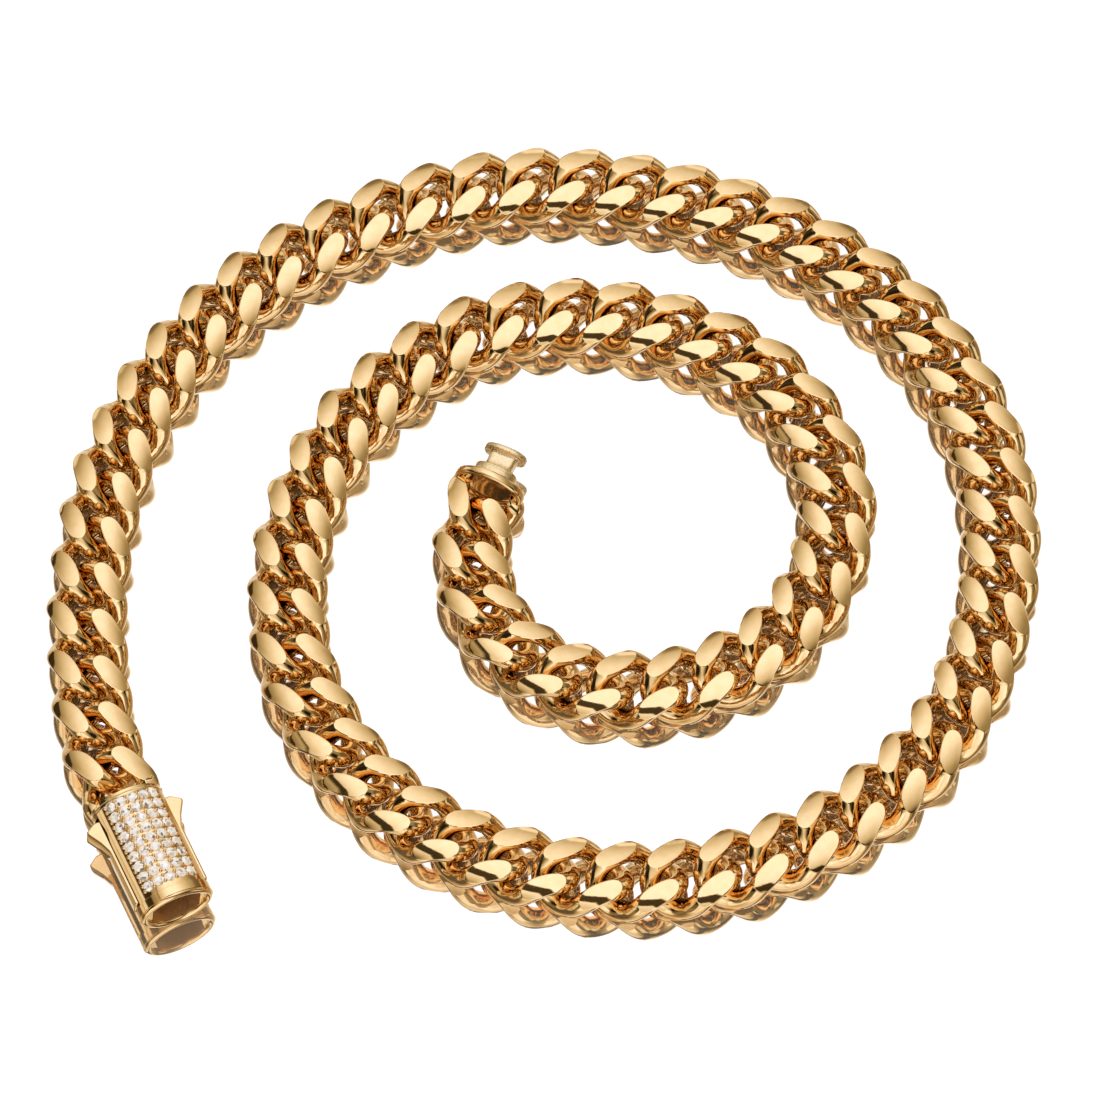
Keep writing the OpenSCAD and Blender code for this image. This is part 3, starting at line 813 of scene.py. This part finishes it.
# Floor
# A warm white sheet under clear acrylic, lit very faintly from below. The acrylic gives the mirror
# image of the chain's underside.
floor_half = 2.0
mirror_share = 0.81
sheet, tree, out = material("white_gloss_sheet")
matt = node(tree, "ShaderNodeBsdfDiffuse", {"Color": srgb("#F7E6C8")})
shine = node(tree, "ShaderNodeBsdfGlossy", {"Color": srgb("#FFF9F0"), "Roughness": 0.045})
both = node(tree, "ShaderNodeMixShader", {0: mirror_share, 1: matt.outputs[0], 2: shine.outputs[0]})
glow = node(tree, "ShaderNodeEmission", {"Color": srgb("#FFE7BC"), "Strength": 0.02})
whole = node(tree, "ShaderNodeAddShader", {0: both.outputs[0], 1: glow.outputs[0]})
tree.links.new(whole.outputs[0], out.inputs["Surface"])
corners = np.array([(-1, -1, 0), (1, -1, 0), (1, 1, 0), (-1, 1, 0)]) * floor_half
mesh = bpy.data.meshes.new("floor")
mesh.from_pydata(corners.tolist(), [], [(0, 1, 2, 3)])
mesh.materials.append(sheet)
floor = bpy.data.objects.new("floor", mesh)
bpy.context.scene.collection.objects.link(floor)


# Light
# A white tent, brightest overhead and dimmer low down, at the sides and behind, with seven low
# windows round the room, a dark slanted gap where the camera looks in, and a dark stand at the
# left. It is told by direction alone.
world = bpy.data.worlds.new("studio")
bpy.context.scene.world = world
world.use_nodes = True
tree = world.node_tree
tree.nodes.clear()
toward = node(tree, "ShaderNodeTexCoord").outputs["Generated"]
way = node(tree, "ShaderNodeSeparateXYZ", {"Vector": toward})
found = {axis.lower(): way.outputs[axis] for axis in "XYZ"}
# Each row names a value and says how it is worked out, and from what. SMOOTH runs from 0 at its
# first number to 1 at its second. "up" is the angle in degrees from the far horizon over the top.
for name, how, *terms in (
    ("up_radians", "ARCTAN2", "z", "y"),
    ("up", "MULTIPLY", "up_radians", 180 / math.pi),
    ("sideways", "ABSOLUTE", "x"),
    ("overhead", "SMOOTH", "up", -5, 72),
    ("middle", "SMOOTH", "sideways", 0.80, 0.10),
    ("tent", "MULTIPLY", "overhead", "middle"),
    ("level", "MULTIPLY_ADD", "tent", 0.78, 0.22),

    ("past_top", "SMOOTH", "up", 99, 135),
    ("before_end", "SMOOTH", "up", 162, 138),
    ("behind", "MULTIPLY", "past_top", "before_end"),
    ("level", "MULTIPLY_ADD", "behind", -0.34, "level"),

    ("round_room", "ARCTAN2", "x", "y"),
    ("seven_times", "MULTIPLY_ADD", "round_room", 7.0, 0.9),
    ("wave", "SINE", "seven_times"),
    ("pane", "SMOOTH", "wave", 0.1, 0.6),
    ("pane_or_wall", "MULTIPLY_ADD", "pane", 0.62, -0.12),
    ("under_lintel", "SMOOTH", "z", 0.42, 0.26),
    ("over_sill", "SMOOTH", "z", -0.05, 0.05),
    ("low_down", "MULTIPLY", "under_lintel", "over_sill"),
    ("level", "MULTIPLY_ADD", "low_down", "pane_or_wall", "level"),

    ("slant", "MULTIPLY_ADD", "x", -40.0, "up"),
    ("gap_from", "SMOOTH", "slant", 97, 99),
    ("gap_to", "SMOOTH", "slant", 117, 113),
    ("gap_sides", "SMOOTH", "sideways", 0.62, 0.50),
    ("gap_band", "MULTIPLY", "gap_from", "gap_to"),
    ("gap", "MULTIPLY", "gap_band", "gap_sides"),
    ("past_gap", "MULTIPLY_ADD", "gap", -0.97, 1.0),
    ("level", "MULTIPLY", "level", "past_gap"),

    ("stand_side", "SMOOTH", "x", -0.70, -0.74),
    ("stand_foot", "SMOOTH", "z", 0.22, 0.28),
    ("stand_head", "SMOOTH", "z", 0.64, 0.58),
    ("stand_tall", "MULTIPLY", "stand_foot", "stand_head"),
    ("stand", "MULTIPLY", "stand_side", "stand_tall"),
    ("past_stand", "MULTIPLY_ADD", "stand", -0.93, 1.0),
    ("level", "MULTIPLY", "level", "past_stand"),
):
    terms = [found[term] if isinstance(term, str) else term for term in terms]
    if how == "SMOOTH":
        terms = dict(zip(("Value", "From Min", "From Max"), terms))
        made = node(tree, "ShaderNodeMapRange", terms, interpolation_type="SMOOTHSTEP")
    else:
        made = node(tree, "ShaderNodeMath", dict(enumerate(terms)), operation=how)
    found[name] = made.outputs[0]
# The stops are half the real brightness, as a ramp ends at 1; the strength doubles them again.
tone = node(tree, "ShaderNodeValToRGB", {"Fac": found["level"]})
stops = {0.0: (0.01, 0.007, 0.004), 0.25: (0.19, 0.163, 0.10), 0.5: (0.35, 0.328, 0.27),
         0.75: (0.475, 0.48, 0.485), 1.0: (0.66, 0.705, 0.84)}
for at in list(stops)[1:-1]:
    tone.color_ramp.elements.new(at)
for element, (at, colour) in zip(tone.color_ramp.elements, stops.items()):
    element.position = at
    element.color = (*colour, 1)
back = node(tree, "ShaderNodeBackground", {"Color": tone.outputs["Color"], "Strength": 2.0})
node(tree, "ShaderNodeOutputWorld", {"Surface": back.outputs[0]})

bpy.context.scene.view_settings.view_transform = "Standard"
